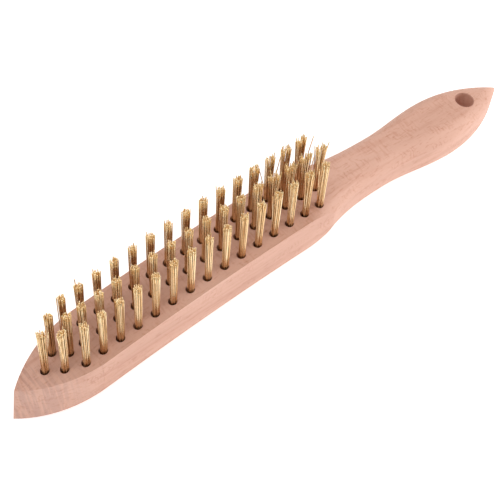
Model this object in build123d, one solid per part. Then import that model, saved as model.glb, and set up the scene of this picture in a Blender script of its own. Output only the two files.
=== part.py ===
# Wooden hand wire brush: arched beech body, 49 anchored wire tufts in three staggered rows.
# Millimetres. +Z is up and out of the bristle face, +X runs from the nose to the handle's end.
# Origin: centre of the footprint, on the surface that the nose and the handle's end stand on.
from build123d import *
import math
import os

# --- wooden body -------------------------------------------------------------------------
BLOCK_LENGTH = 169.3      # nose tip to shoulder
HANDLE_LENGTH = 120.7     # shoulder to the handle's end
BLOCK_WIDTH = 30.0        # across the bristle field
BOARD_THICK = 22.5
ARCH_RISE = 13.0          # how far the middle of the back stands above its two ends
NOSE_LENGTH = 39.3        # length of the two curved flanks that meet at the nose
NOSE_RAKE = 3.3           # how far the nose's edge leans back between the back and the face
NECK_WIDTH = 20.8         # narrowest part of the handle
NECK_FROM_SHOULDER = 38.0
SHOULDER_SLOPE = 0.34     # how steeply the flank turns in at the shoulder
PALM_WIDTH = 27.0         # widest part of the handle
PALM_FROM_END = 43.7
HANDLE_ROUND = 6.5        # radius routed along the handle's edges
HANG_HOLE_DIAMETER = 9.6
HANG_HOLE_FROM_END = 23.2
HANG_HOLE_EDGE = 0.4      # broken edge at each mouth of the hanging hole

# --- bristle field -----------------------------------------------------------------------
OUTER_TUFTS = 16          # tufts in each outer row; the middle row has one more
FIRST_FROM_NOSE = 25.7    # first outer tuft, measured from the nose tip
FIRST_SET_IN = 3.5        # the first tuft of each outer row stands in from its row
LEAD_AHEAD = 7.0          # the middle row's first tuft stands this far ahead of them
SECOND_BACK = 1.5         # and its second tuft this far behind even spacing
LAST_FROM_SHOULDER = 5.2  # last outer tuft, measured back from the shoulder
EDGE_TO_ROW = 6.5         # side of the block to the middle of an outer row
FIELD_OFFSET = -0.9       # the whole field is drilled a little off the centre line
END_SQUEEZE = 2.1         # how much closer to the middle the end holes sit than even spacing
NOSE_LEAN = 2.0           # degrees the first holes lean towards the handle; the last are upright
HOLE_DIAMETER = 4.2
HOLE_DEPTH = 13.0

# --- tufts and anchors -------------------------------------------------------------------
TUFT_CLEARANCE = 0.35     # gap between the bundle and the wall of its hole
TUFT_FREE_LENGTH = 31.0   # from the face of the block to the trimmed tips
TUFT_SPREAD = 0.45        # how much the bundle's radius grows by the tips
ANCHOR_BITE = 0.7         # how far each end of the anchor cuts into the wood
ANCHOR_THICK = 0.6
ANCHOR_HEIGHT = 1.8
ANCHOR_ABOVE_FLOOR = 0.9  # wire fold left under the anchor

LENGTH = BLOCK_LENGTH + HANDLE_LENGTH
HALF_LENGTH = LENGTH / 2
NOSE_X = -HALF_LENGTH
SHOULDER_X = NOSE_X + BLOCK_LENGTH
END_X = HALF_LENGTH
HALF_WIDTH = BLOCK_WIDTH / 2
TUFT_RADIUS = HOLE_DIAMETER / 2 - TUFT_CLEARANCE
ANCHOR_LENGTH = HOLE_DIAMETER + 2 * ANCHOR_BITE
FACE_RADIUS = (HALF_LENGTH ** 2 + ARCH_RISE ** 2) / (2 * ARCH_RISE)
BACK_RADIUS = FACE_RADIUS - BOARD_THICK
CENTRE_Z = -math.sqrt(BACK_RADIUS ** 2 - HALF_LENGTH ** 2)


def arc_height(radius, x):
    """Height above the ground, at x, of an arc about the body's centre of bending."""
    return CENTRE_Z + math.sqrt(radius ** 2 - x ** 2)


NOSE_HEIGHT = arc_height(FACE_RADIUS, NOSE_X)


def row_places(shift):
    """X places of a row; shift is 0 for an outer row, 0.5 for the row set half a pitch over."""
    first = NOSE_X + FIRST_FROM_NOSE
    last = SHOULDER_X - LAST_FROM_SHOULDER
    middle = (first + last) / 2
    pitch = (last - first + 2 * END_SQUEEZE) / (OUTER_TUFTS - 1)
    half_count = (OUTER_TUFTS - 1) / 2
    count = OUTER_TUFTS + (1 if shift else 0)
    places = []
    for i in range(count):
        steps = i - shift - half_count
        places.append(middle + pitch * steps - END_SQUEEZE * (steps / half_count) ** 3)
    if shift:
        places[0] = first - LEAD_AHEAD
        places[1] += SECOND_BACK
    return places


def tuft_places():
    """Name, x and y of every tuft. The outer rows close in where the nose narrows."""
    row_y = HALF_WIDTH - EDGE_TO_ROW
    places = []
    for row, side in (("front", -1), ("middle", 0), ("back", 1)):
        for number, x in enumerate(row_places(0 if side else 0.5), start=1):
            y = side * (row_y - FIRST_SET_IN if number == 1 else row_y)
            places.append((f"tuft_{row}_{number:02d}", x, y + FIELD_OFFSET))
    return places


def at_mouth(x, y):
    """Place of a hole's mouth, turned so that -Z runs down the hole."""
    first = NOSE_X + FIRST_FROM_NOSE
    last = SHOULDER_X - LAST_FROM_SHOULDER
    lean = NOSE_LEAN * max(0.0, (last - x) / (last - first))
    return Pos(x, y, arc_height(FACE_RADIUS, x)) * Rot(0, lean, 0)


def plan_outline():
    """Outline of the body behind the nose: straight sides, waisted handle, pointed end."""
    side_start = (NOSE_X + NOSE_LENGTH, HALF_WIDTH)
    shoulder = (SHOULDER_X, HALF_WIDTH)
    neck = (SHOULDER_X + NECK_FROM_SHOULDER, NECK_WIDTH / 2)
    palm = (END_X - PALM_FROM_END, PALM_WIDTH / 2)
    with BuildSketch() as outline:
        with BuildLine():
            Line((side_start[0], 0), side_start)
            Line(side_start, shoulder)
            Spline(shoulder, neck, tangents=[(1, -SHOULDER_SLOPE), (1, 0)])
            Spline(neck, palm, tangents=[(1, 0), (1, 0)])
            TangentArc(palm, (END_X, 0), tangent=(1, 0))
            mirror(about=Plane.XZ)
        make_face()
    return outline.sketch


def nose_outline():
    """Outline of the nose at ground level, carried a little way into the straight sides."""
    side_start = (NOSE_X + NOSE_LENGTH, HALF_WIDTH)
    overlap = (NOSE_X + NOSE_LENGTH + NOSE_RAKE, HALF_WIDTH)
    with BuildSketch() as outline:
        with BuildLine():
            TangentArc(side_start, (NOSE_X, 0), tangent=(-1, 0))
            Line(side_start, overlap)
            Line(overlap, (overlap[0], 0))
            mirror(about=Plane.XZ)
        make_face()
    return outline.sketch


def arched_board():
    """The bent board between the face and the back, longer and wider than the outline."""
    reach = HALF_LENGTH + 5
    face_end = arc_height(FACE_RADIUS, reach)
    back_end = arc_height(BACK_RADIUS, reach)
    with BuildSketch(Plane.XZ) as side:
        with BuildLine():
            ThreePointArc((-reach, face_end), (0, ARCH_RISE + BOARD_THICK), (reach, face_end))
            Line((reach, face_end), (reach, back_end))
            ThreePointArc((reach, back_end), (0, ARCH_RISE), (-reach, back_end))
            Line((-reach, back_end), (-reach, face_end))
        make_face()
    return extrude(side.sketch, amount=BLOCK_WIDTH, both=True)


def anchor(x, y):
    """Flat wire anchor lying across the hole, both ends pressed into the wood."""
    bar = Box(ANCHOR_THICK, ANCHOR_LENGTH, ANCHOR_HEIGHT)
    return at_mouth(x, y) * Pos(0, 0, -HOLE_DEPTH + ANCHOR_ABOVE_FLOOR + ANCHOR_HEIGHT / 2) * bar


def tuft(x, y):
    """Envelope of one folded wire bundle, slotted where the anchor runs through its fold."""
    seated = Pos(0, 0, -HOLE_DEPTH / 2) * Cylinder(TUFT_RADIUS, HOLE_DEPTH)
    flared = Cone(TUFT_RADIUS, TUFT_RADIUS + TUFT_SPREAD, TUFT_FREE_LENGTH)
    bundle = seated + Pos(0, 0, TUFT_FREE_LENGTH / 2) * flared
    return at_mouth(x, y) * bundle - anchor(x, y)


def tuft_hole(x, y):
    """Blind hole with the two cuts that the anchor's ends make in its wall."""
    above = 4.0
    drilled = Pos(0, 0, (above - HOLE_DEPTH) / 2) * Cylinder(HOLE_DIAMETER / 2, HOLE_DEPTH + above)
    return at_mouth(x, y) * drilled + anchor(x, y)


def hanging_hole():
    """Through hole square to the handle's face, with its edges broken."""
    x = END_X - HANG_HOLE_FROM_END
    lean = math.degrees(math.asin(x / FACE_RADIUS))
    radius = HANG_HOLE_DIAMETER / 2
    mouth = Cone(radius, radius + 2 * HANG_HOLE_EDGE, 2 * HANG_HOLE_EDGE)
    bore = Pos(0, 0, -BOARD_THICK / 2) * Cylinder(radius, BOARD_THICK + 8)
    bore = bore + mouth + Pos(0, 0, -BOARD_THICK) * Rot(180, 0, 0) * mouth
    return Pos(x, 0, arc_height(FACE_RADIUS, x)) * Rot(0, lean, 0) * bore


def block():
    """The wooden body: outline cut from the arched board, handle routed round, then drilled."""
    tall = 2 * BOARD_THICK
    rake = math.hypot(NOSE_RAKE, NOSE_HEIGHT) / NOSE_HEIGHT
    raked = (NOSE_RAKE, 0, NOSE_HEIGHT)
    column = extrude(plan_outline(), amount=tall, both=True)
    column = column + extrude(nose_outline(), amount=tall * rake, dir=raked, both=True)
    body = (arched_board() & column).solids()[0]
    rims = [e for e in body.edges() if abs(e.tangent_at(0.5).Z) < 0.9]
    body = body.fillet(HANDLE_ROUND, [e for e in rims if e.center().X > SHOULDER_X + 1])
    holes = [tuft_hole(x, y) for _, x, y in tuft_places()]
    body = body - holes - hanging_hole()
    return body.solids()[0]


def save(shape, node, colour):
    shape.label = node
    shape.color = colour
    export_step(shape, f"parts/{node}.step")


os.makedirs("parts", exist_ok=True)
BEECH = Color(0.80, 0.62, 0.54)
BRASSED = Color(0.78, 0.62, 0.36)
STEEL = Color(0.62, 0.62, 0.64)

save(block(), "block", BEECH)
for name, x, y in tuft_places():
    save(tuft(x, y), name, BRASSED)
anchors = Compound(children=[anchor(x, y) for _, x, y in tuft_places()])
save(anchors, "anchors", STEEL)
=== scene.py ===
import bpy
import bmesh
import math
import random
from mathutils import Matrix, Vector


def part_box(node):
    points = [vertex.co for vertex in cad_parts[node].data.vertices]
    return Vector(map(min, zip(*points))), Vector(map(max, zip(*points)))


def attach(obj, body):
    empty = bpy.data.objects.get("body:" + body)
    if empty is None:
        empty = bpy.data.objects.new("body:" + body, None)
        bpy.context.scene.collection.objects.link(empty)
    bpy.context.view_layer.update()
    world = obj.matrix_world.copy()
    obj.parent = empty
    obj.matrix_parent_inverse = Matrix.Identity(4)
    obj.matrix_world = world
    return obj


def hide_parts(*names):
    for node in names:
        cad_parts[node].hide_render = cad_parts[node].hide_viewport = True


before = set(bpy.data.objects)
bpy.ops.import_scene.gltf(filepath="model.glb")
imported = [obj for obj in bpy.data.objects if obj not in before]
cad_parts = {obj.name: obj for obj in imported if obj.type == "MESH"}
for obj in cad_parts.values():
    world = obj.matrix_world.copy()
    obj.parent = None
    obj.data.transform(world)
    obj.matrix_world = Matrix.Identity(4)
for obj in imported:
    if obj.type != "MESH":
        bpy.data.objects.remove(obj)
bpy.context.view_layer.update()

# --- Wooden body -------------------------------------------------------------------------
# One piece of steamed beech, bent into a shallow arch and sawn to outline. The face and sides
# are sanded bare; the handle's edges are routed round and the hanging hole is bored through.
# Nothing holds it: every other piece is driven into it.
MM = 0.001


def link(tree, source, target):
    tree.links.new(source, target)


def add_node(tree, kind, **settings):
    node = tree.nodes.new(kind)
    for name, value in settings.items():
        setattr(node, name, value)
    return node


def colour_ramp(tree, factor, stops):
    ramp = add_node(tree, "ShaderNodeValToRGB")
    while len(ramp.color_ramp.elements) < len(stops):
        ramp.color_ramp.elements.new(0.5)
    for element, (place, colour) in zip(ramp.color_ramp.elements, stops):
        element.position = place
        element.color = (*colour, 1)
    link(tree, factor, ramp.inputs["Fac"])
    return ramp.outputs["Color"]


# noise drawn out along the grain or the drawing direction, shared by every material
drawn_out = bpy.data.node_groups.new("drawn_out_noise", "ShaderNodeTree")
drawn_out.interface.new_socket("Place", in_out="INPUT", socket_type="NodeSocketVector")
drawn_out.interface.new_socket("Repeats", in_out="INPUT", socket_type="NodeSocketVector")
drawn_out.interface.new_socket("Detail", in_out="INPUT", socket_type="NodeSocketFloat")
drawn_out.interface.new_socket("Value", in_out="OUTPUT", socket_type="NodeSocketFloat")
group_in = add_node(drawn_out, "NodeGroupInput")
group_out = add_node(drawn_out, "NodeGroupOutput")
stretch = add_node(drawn_out, "ShaderNodeMapping")
ripple = add_node(drawn_out, "ShaderNodeTexNoise")
ripple.inputs["Scale"].default_value = 1.0
link(drawn_out, group_in.outputs["Place"], stretch.inputs["Vector"])
link(drawn_out, group_in.outputs["Repeats"], stretch.inputs["Scale"])
link(drawn_out, stretch.outputs["Vector"], ripple.inputs["Vector"])
link(drawn_out, group_in.outputs["Detail"], ripple.inputs["Detail"])
link(drawn_out, ripple.outputs["Fac"], group_out.inputs["Value"])


def stretched_noise(tree, place, repeats, detail):
    """The shared noise, with its repeats per metre on each axis."""
    placed = add_node(tree, "ShaderNodeGroup", node_tree=drawn_out)
    placed.inputs["Repeats"].default_value = repeats
    placed.inputs["Detail"].default_value = detail
    link(tree, place, placed.inputs["Place"])
    return placed.outputs["Value"]


def blend_colours(tree, mode, amount, first, second):
    mix = add_node(tree, "ShaderNodeMix", data_type="RGBA", blend_type=mode)
    if hasattr(amount, "is_output"):
        link(tree, amount, mix.inputs["Factor"])
    else:
        mix.inputs["Factor"].default_value = amount
    for value, socket in ((first, mix.inputs[6]), (second, mix.inputs[7])):
        if hasattr(value, "is_output"):
            link(tree, value, socket)
        else:
            socket.default_value = (*value, 1)
    return mix.outputs[2]


def between(tree, value, low, high):
    """0 below low, 1 above high, smooth between."""
    span = add_node(tree, "ShaderNodeMapRange", interpolation_type="SMOOTHSTEP")
    span.inputs["From Min"].default_value = low
    span.inputs["From Max"].default_value = high
    link(tree, value, span.inputs["Value"])
    return span.outputs["Result"]


def scaled(tree, value, factor):
    times = add_node(tree, "ShaderNodeMath", operation="MULTIPLY")
    link(tree, value, times.inputs[0])
    times.inputs[1].default_value = factor
    return times.outputs[0]


def added(tree, first, second):
    plus = add_node(tree, "ShaderNodeMath", operation="ADD")
    link(tree, first, plus.inputs[0])
    link(tree, second, plus.inputs[1])
    return plus.outputs[0]


beech = bpy.data.materials.new("beech_sanded")
beech.use_nodes = True
wood = beech.node_tree
wood_shader = wood.nodes["Principled BSDF"]
wood_coords = add_node(wood, "ShaderNodeTexCoord")
wood_place = wood_coords.outputs["Object"]

# broad warm and grey patches, then growth bands that wander along the length
patches = stretched_noise(wood, wood_place, (14, 55, 55), 2)
wood_colour = colour_ramp(wood, patches, (
    (0.30, (0.615, 0.352, 0.268)),
    (0.50, (0.675, 0.396, 0.306)),
    (0.72, (0.715, 0.440, 0.350)),
))
bands = stretched_noise(wood, wood_place, (5, 260, 190), 3)
band_mask = between(wood, bands, 0.50, 0.72)
wood_colour = blend_colours(wood, "MULTIPLY", scaled(wood, band_mask, 0.45), wood_colour,
                            (0.84, 0.74, 0.70))
# ray flecks: short dark strokes along the grain
flecks = stretched_noise(wood, wood_place, (260, 1500, 1500), 1)
fleck_mask = between(wood, flecks, 0.60, 0.70)
wood_colour = blend_colours(wood, "MULTIPLY", scaled(wood, fleck_mask, 0.5), wood_colour,
                            (0.80, 0.66, 0.58))
# thin lines of late wood along the length
late = stretched_noise(wood, wood_place, (6, 420, 420), 3)
wood_colour = blend_colours(wood, "MULTIPLY", scaled(wood, between(wood, late, 0.56, 0.66), 0.35),
                            wood_colour, (0.84, 0.73, 0.67))
# fine marks left across the upper face by sanding, in patches
facing = add_node(wood, "ShaderNodeSeparateXYZ")
link(wood, wood_coords.outputs["Normal"], facing.inputs["Vector"])
marks = stretched_noise(wood, wood_place, (950, 150, 950), 2)
mark_patches = stretched_noise(wood, wood_place, (60, 90, 90), 2)
mark_mask = add_node(wood, "ShaderNodeMath", operation="MULTIPLY")
link(wood, between(wood, marks, 0.50, 0.66), mark_mask.inputs[0])
link(wood, between(wood, mark_patches, 0.38, 0.60), mark_mask.inputs[1])
face_mark = add_node(wood, "ShaderNodeMath", operation="MULTIPLY")
link(wood, mark_mask.outputs[0], face_mark.inputs[0])
link(wood, between(wood, facing.outputs["Z"], 0.80, 0.99), face_mark.inputs[1])
wood_colour = blend_colours(wood, "MULTIPLY", scaled(wood, face_mark.outputs[0], 0.55),
                            wood_colour, (0.84, 0.72, 0.66))
# faint arcs left across the face by the planing head
arc_place = add_node(wood, "ShaderNodeMapping")
arc_place.inputs["Location"].default_value = (0.42, 0.09, 0)
link(wood, wood_place, arc_place.inputs["Vector"])
arcs = add_node(wood, "ShaderNodeTexWave", wave_type="RINGS", rings_direction="Z")
arcs.inputs["Scale"].default_value = 140
arcs.inputs["Distortion"].default_value = 14.0
arcs.inputs["Detail"].default_value = 3
arcs.inputs["Detail Scale"].default_value = 1.3
link(wood, arc_place.outputs["Vector"], arcs.inputs["Vector"])
arc_patches = stretched_noise(wood, wood_place, (110, 170, 170), 3)
arc_mask = add_node(wood, "ShaderNodeMath", operation="MULTIPLY")
link(wood, between(wood, arcs.outputs["Fac"], 0.62, 1.0), arc_mask.inputs[0])
link(wood, between(wood, arc_patches, 0.50, 0.70), arc_mask.inputs[1])
wood_colour = blend_colours(wood, "MULTIPLY", scaled(wood, arc_mask.outputs[0], 0.6),
                            wood_colour, (0.82, 0.70, 0.63))
# the nose is cut across the fibres there, so its flanks show fine upright stripes
stripes = stretched_noise(wood, wood_place, (800, 60, 40), 2)
along = add_node(wood, "ShaderNodeSeparateXYZ")
link(wood, wood_place, along.inputs["Vector"])
near_nose = between(wood, along.outputs["X"], -0.105, -0.135)
stripe_mask = add_node(wood, "ShaderNodeMath", operation="MULTIPLY")
link(wood, between(wood, stripes, 0.44, 0.60), stripe_mask.inputs[0])
link(wood, near_nose, stripe_mask.inputs[1])
wood_colour = blend_colours(wood, "MULTIPLY", scaled(wood, stripe_mask.outputs[0], 0.8),
                            wood_colour, (0.83, 0.82, 0.85))
link(wood, wood_colour, wood_shader.inputs["Base Color"])

fibres = stretched_noise(wood, wood_place, (120, 2600, 2600), 3)
wood_rough = add_node(wood, "ShaderNodeMapRange")
wood_rough.inputs["To Min"].default_value = 0.50
wood_rough.inputs["To Max"].default_value = 0.66
link(wood, fibres, wood_rough.inputs["Value"])
link(wood, wood_rough.outputs["Result"], wood_shader.inputs["Roughness"])
wood_bump = add_node(wood, "ShaderNodeBump")
wood_bump.inputs["Strength"].default_value = 0.25
wood_bump.inputs["Distance"].default_value = 0.00012
link(wood, added(wood, fibres, scaled(wood, fleck_mask, -0.6)), wood_bump.inputs["Height"])
link(wood, wood_bump.outputs["Normal"], wood_shader.inputs["Normal"])
wood_shader.inputs["Specular IOR Level"].default_value = 0.35

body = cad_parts["block"]
body.data.materials.clear()
body.data.materials.append(beech)

# --- Tufts -------------------------------------------------------------------------------
# Each tuft is seventeen brassed steel wires folded in half over a flat anchor at the
# bottom of a drilled hole, so twice as many ends stand up. They are trimmed after filling,
# so a few ends are longer and a few splay out of the bundle.
WIRE_RADIUS = 0.225 * MM
WIRE_UNEVEN = 0.08         # share by which a wire may be thicker or thinner
WIRE_PITCH = 0.50 * MM
PLACE_UNEVEN = 0.03 * MM   # how far a wire may sit from its place in the bundle
BUNDLE_RADIUS = 1.50 * MM
WIRE_SIDES = 5
ANCHOR_GAP = 0.52 * MM     # middle of the nearest wire to the middle of the anchor
FOLD_HEIGHT = 0.45 * MM    # bottom of the fold above the hole's floor
ANCHOR_TOP = 2.9 * MM
MOUTH = 13.0 * MM          # the hole's depth
TIP_RAGGED = 0.70 * MM
TIP_SLOPE = -0.22          # the trimmed tips fall this steeply towards the back
LONG_CHANCE = 0.06         # wires that missed the trimming
LONG_EXTRA = (1.0 * MM, 3.0 * MM)
FLARE = 0.22               # share by which the bundle widens from the hole to the tips
WIRE_LEAN = 0.10 * MM      # usual lean of a wire at its tip
STRAY_CHANCE = 0.05
STRAY_LEAN = (0.9 * MM, 0.7 * MM)
WIRE_BOW = 0.05 * MM
WIRE_WAVE = 0.04 * MM
SETTLE = (0.25 * MM, -0.22 * MM, 0)   # the bundle leans on one side of its hole
WORN_FROM = 12             # from this number on, the tufts have been parted by use
PARTING = 0.05 * MM        # how far the two halves of a tuft stand apart at the tips
PARTING_STEP = 0.18 * MM   # and how much more on each worn tuft after the last
WORN_SPLAY = 2.2
CORNER_SPLAY = 2.6

wire = bpy.data.materials.new("brassed_steel_wire")
wire.use_nodes = True
metal = wire.node_tree
wire_shader = metal.nodes["Principled BSDF"]
wire_shader.inputs["Metallic"].default_value = 1.0
metal_place = add_node(metal, "ShaderNodeTexCoord").outputs["Object"]
# streaks along the wires from dark brown to pale gold: partly the wires' own uneven tone, partly
# painted highlights and painted shade between the wires
wire_tone_and_painted_streaks = stretched_noise(metal, metal_place, (1400, 1400, 14), 2)
wire_colour = colour_ramp(metal, wire_tone_and_painted_streaks, (
    (0.34, (0.570, 0.340, 0.155)),
    (0.46, (0.860, 0.585, 0.300)),
    (0.60, (1.000, 0.830, 0.540)),
))
link(metal, wire_colour, wire_shader.inputs["Base Color"])
tarnish = stretched_noise(metal, metal_place, (600, 600, 90), 3)
wire_rough = add_node(metal, "ShaderNodeMapRange")
wire_rough.inputs["To Min"].default_value = 0.14
wire_rough.inputs["To Max"].default_value = 0.34
link(metal, tarnish, wire_rough.inputs["Value"])
link(metal, wire_rough.outputs["Result"], wire_shader.inputs["Roughness"])


def sweep_wire(mesh, path, radius, turn):
    """A wire drawn along a path that lies in one upright plane, with cut ends."""
    rings = []
    for i, point in enumerate(path):
        ahead = path[min(i + 1, len(path) - 1)] - path[max(i - 1, 0)]
        side = ahead.cross(Vector((0, 1, 0)))
        side = side.normalized() if side.length > 1e-9 else Vector((1, 0, 0))
        across = ahead.normalized().cross(side)
        ring = []
        for k in range(WIRE_SIDES):
            angle = turn + 2 * math.pi * k / WIRE_SIDES
            offset = side * math.cos(angle) + across * math.sin(angle)
            ring.append(mesh.verts.new(point + offset * radius))
        rings.append(ring)
    for lower, upper in zip(rings, rings[1:]):
        for k in range(WIRE_SIDES):
            n = (k + 1) % WIRE_SIDES
            face = mesh.faces.new((lower[k], lower[n], upper[n], upper[k]))
            face.smooth = True
    mesh.faces.new(list(reversed(rings[0])))
    mesh.faces.new(rings[-1])


def wire_grid():
    """Places of the wire ends on one side of the anchor, where the bundle leaves its hole."""
    places = []
    row_step = WIRE_PITCH * math.sqrt(3) / 2
    for row in range(-4, 5):
        y = row * row_step
        for column in range(5):
            x = WIRE_PITCH * (column + (0.5 if row % 2 else 0.0)) + WIRE_PITCH * 0.25
            if math.hypot(x, y) < BUNDLE_RADIUS:
                places.append((x, y))
    return places


def tuft_axis(node):
    """Foot and tip of a tuft's middle line."""
    low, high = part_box(node)
    points = [v.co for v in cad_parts[node].data.vertices]
    ends = []
    for level in (low.z, high.z):
        near = [p for p in points if abs(p.z - level) < 0.4 * MM]
        ends.append(Vector([(min(p[k] for p in near) + max(p[k] for p in near)) / 2
                            for k in range(3)]))
    return ends


def free_half(draw, x, y, side, length, splay, parting):
    """One standing half of a folded wire, from the anchor up, in the tuft's own axes."""
    lean_x = side * parting + draw.gauss(0, WIRE_LEAN)
    lean_y = draw.gauss(0, WIRE_LEAN)
    if draw.random() < STRAY_CHANCE * splay:
        lean_x += draw.gauss(0, STRAY_LEAN[0]) * splay
        lean_y += draw.gauss(0, STRAY_LEAN[1])
    bow = draw.gauss(0, WIRE_BOW)
    kink = draw.uniform(0, math.tau)
    top = length + draw.gauss(0, TIP_RAGGED) + TIP_SLOPE * (side * x + y)
    if draw.random() < LONG_CHANCE:
        top += draw.uniform(*LONG_EXTRA)
    at_anchor = side * min(max(abs(x) * 0.95, ANCHOR_GAP), BUNDLE_RADIUS)
    path = [Vector((at_anchor, y * 0.9, ANCHOR_TOP))]
    gathered = MOUTH * 0.7     # from here up the wires run straight
    for share in (0.0, 0.1, 0.25, 0.4, 0.55, 0.7, 0.85, 1.0):
        z = gathered + (top - gathered) * share
        rise = max(0.0, (z - MOUTH) / (length - MOUTH))
        shift_x = lean_x * rise ** 1.2 + bow * math.sin(math.pi * rise)
        shift_y = lean_y * rise ** 1.2 + WIRE_WAVE * math.sin(kink + 5 * rise) * rise
        wider = 1 + FLARE * rise
        path.append(Vector((side * x * wider + shift_x, y * wider + shift_y, z)))
    return path


def fold(x_left, x_right, y):
    """The bend of a wire under the anchor."""
    points = []
    for k in range(5):
        angle = math.pi * k / 4
        middle = (x_left + x_right) / 2
        reach = (x_right - x_left) / 2
        height = ANCHOR_TOP * 0.5 - (ANCHOR_TOP * 0.5 - FOLD_HEIGHT) * math.sin(angle)
        points.append(Vector((middle - reach * math.cos(angle), y, height)))
    return points


def make_tuft(node, splay, parting):
    draw = random.Random(node)
    foot, tip = tuft_axis(node)
    length = (tip - foot).length
    mesh = bmesh.new()
    for x, y in wire_grid():
        jitter = draw.gauss(0, PLACE_UNEVEN)
        left = free_half(draw, x + jitter, y, -1, length, splay, parting)
        right = free_half(draw, x - jitter, y, 1, length, splay, parting)
        path = list(reversed(left)) + fold(left[0].x, right[0].x, y * 0.9) + right
        thickness = WIRE_RADIUS * draw.uniform(1 - WIRE_UNEVEN, 1 + WIRE_UNEVEN)
        sweep_wire(mesh, path, thickness, draw.uniform(0, math.tau))
    # the anchor holds the fold in the middle; above it the bundle rests on the hole's side
    for vertex in mesh.verts:
        freed = (vertex.co.z - ANCHOR_TOP) / (MOUTH - ANCHOR_TOP)
        vertex.co += Vector(SETTLE) * min(max(freed, 0.0), 1.0)
    lean = math.atan2(tip.x - foot.x, tip.z - foot.z)
    place = Matrix.Translation(foot) @ Matrix.Rotation(lean, 4, "Y")
    bmesh.ops.transform(mesh, matrix=place, verts=mesh.verts)
    data = bpy.data.meshes.new(f"wires_{node}")
    mesh.to_mesh(data)
    mesh.free()
    tuft = bpy.data.objects.new(f"wires_{node}", data)
    bpy.context.scene.collection.objects.link(tuft)
    data.materials.append(wire)
    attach(tuft, "root")
    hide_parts(node)


for node in sorted(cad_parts):
    if node.startswith("tuft_"):
        row, number = node.split("_")[1:]
        number = int(number)
        splay = 1.0
        parting = PARTING
        if number == 1 and row != "back":
            splay = CORNER_SPLAY
        if number >= WORN_FROM and row != "front":
            splay = WORN_SPLAY
            parting += PARTING_STEP * (number - WORN_FROM + 1)
        make_tuft(node, splay, parting)

# --- Anchors -----------------------------------------------------------------------------
# A short piece of flat steel wire lies across the bottom of every hole. The filling machine
# drives it in with the tuft folded under it, and its two ends bite into the wood.
steel = bpy.data.materials.new("anchor_flat_steel")
steel.use_nodes = True
flat = steel.node_tree
flat_shader = flat.nodes["Principled BSDF"]
flat_shader.inputs["Metallic"].default_value = 1.0
flat_place = add_node(flat, "ShaderNodeTexCoord").outputs["Object"]
drawn = stretched_noise(flat, flat_place, (3000, 150, 3000), 3)
link(flat, colour_ramp(flat, drawn, (
    (0.35, (0.36, 0.36, 0.37)),
    (0.65, (0.58, 0.58, 0.60)),
)), flat_shader.inputs["Base Color"])
flat_rough = add_node(flat, "ShaderNodeMapRange")
flat_rough.inputs["To Min"].default_value = 0.30
flat_rough.inputs["To Max"].default_value = 0.50
link(flat, drawn, flat_rough.inputs["Value"])
link(flat, flat_rough.outputs["Result"], flat_shader.inputs["Roughness"])
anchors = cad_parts["anchors"]
anchors.data.materials.clear()
anchors.data.materials.append(steel)

# --- Floor, lights and camera ------------------------------------------------------------
# A white table top under a white sky, with a soft lamp beyond the handle's near side and a
# broad one overhead. The camera stands high, on the near side of the nose.
floor_mesh = bmesh.new()
FLOOR_HALF = 4.0
FLOOR_Z = -0.0001          # just under the brush, so that the two surfaces don't coincide
floor_mesh.faces.new([floor_mesh.verts.new((sx * FLOOR_HALF, sy * FLOOR_HALF, FLOOR_Z))
                      for sx, sy in ((-1, -1), (1, -1), (1, 1), (-1, 1))])
floor_data = bpy.data.meshes.new("table_top")
floor_mesh.to_mesh(floor_data)
floor_mesh.free()
floor = bpy.data.objects.new("table_top", floor_data)
bpy.context.scene.collection.objects.link(floor)
table = bpy.data.materials.new("white_table")
table.use_nodes = True
table_shader = table.node_tree.nodes["Principled BSDF"]
table_place = add_node(table.node_tree, "ShaderNodeTexCoord").outputs["Object"]
cloudy = stretched_noise(table.node_tree, table_place, (3, 3, 3), 1)
link(table.node_tree, colour_ramp(table.node_tree, cloudy, (
    (0.3, (0.86, 0.86, 0.86)),
    (0.7, (0.88, 0.88, 0.88)),
)), table_shader.inputs["Base Color"])
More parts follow.
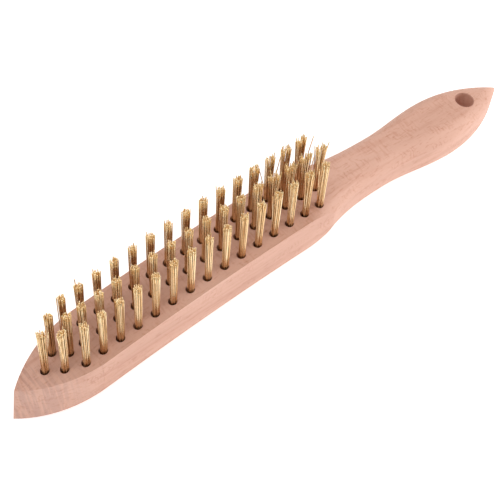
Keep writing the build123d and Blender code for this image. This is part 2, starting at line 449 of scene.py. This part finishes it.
table_shader.inputs["Roughness"].default_value = 0.9
table_shader.inputs["Specular IOR Level"].default_value = 0.0
table_shader.inputs["Emission Color"].default_value = (0.96, 0.98, 1.0, 1)
table_shader.inputs["Emission Strength"].default_value = 0.52
floor_data.materials.append(table)

sky = bpy.data.worlds.new("white_sky")
sky.use_nodes = True
sky.node_tree.nodes["Background"].inputs["Color"].default_value = (1.0, 0.97, 0.93, 1)
sky.node_tree.nodes["Background"].inputs["Strength"].default_value = 0.62
bpy.context.scene.world = sky


def soft_lamp(name, place, aim, size, power):
    data = bpy.data.lights.new(name, "AREA")
    data.shape = "DISK"
    data.size = size
    data.energy = power
    lamp = bpy.data.objects.new(name, data)
    lamp.location = place
    lamp.rotation_mode = "QUATERNION"
    lamp.rotation_quaternion = (Vector(aim) - Vector(place)).to_track_quat("-Z", "Y")
    bpy.context.scene.collection.objects.link(lamp)


soft_lamp("main_lamp", (0.78, -0.50, 0.42), (0.03, 0, 0.03), 0.5, 4.2)
soft_lamp("top_lamp", (-0.15, 0.15, 1.20), (0, 0, 0.03), 1.8, 6.0)

AZIMUTH = math.radians(-41.54)
ELEVATION = math.radians(57.70)
ROLL = math.radians(4.08)
PLACE = Vector((-228.5, -243.2, 528.4)) * MM
camera_data = bpy.data.cameras.new("camera")
camera_data.sensor_width = 36
camera_data.lens = 93.6
camera_data.clip_start = 0.02
camera_data.clip_end = 20
camera = bpy.data.objects.new("camera", camera_data)
bpy.context.scene.collection.objects.link(camera)
back = Vector((math.sin(AZIMUTH) * math.cos(ELEVATION), -math.cos(AZIMUTH) * math.cos(ELEVATION),
               math.sin(ELEVATION)))
level = Vector((math.cos(AZIMUTH), math.sin(AZIMUTH), 0))
upright = back.cross(level)
right = level * math.cos(ROLL) + upright * math.sin(ROLL)
up = upright * math.cos(ROLL) - level * math.sin(ROLL)
turned = Matrix((right, up, back)).transposed().to_4x4()
camera.matrix_world = Matrix.Translation(PLACE) @ turned
bpy.context.scene.camera = camera
bpy.context.scene.view_settings.view_transform = "Standard"
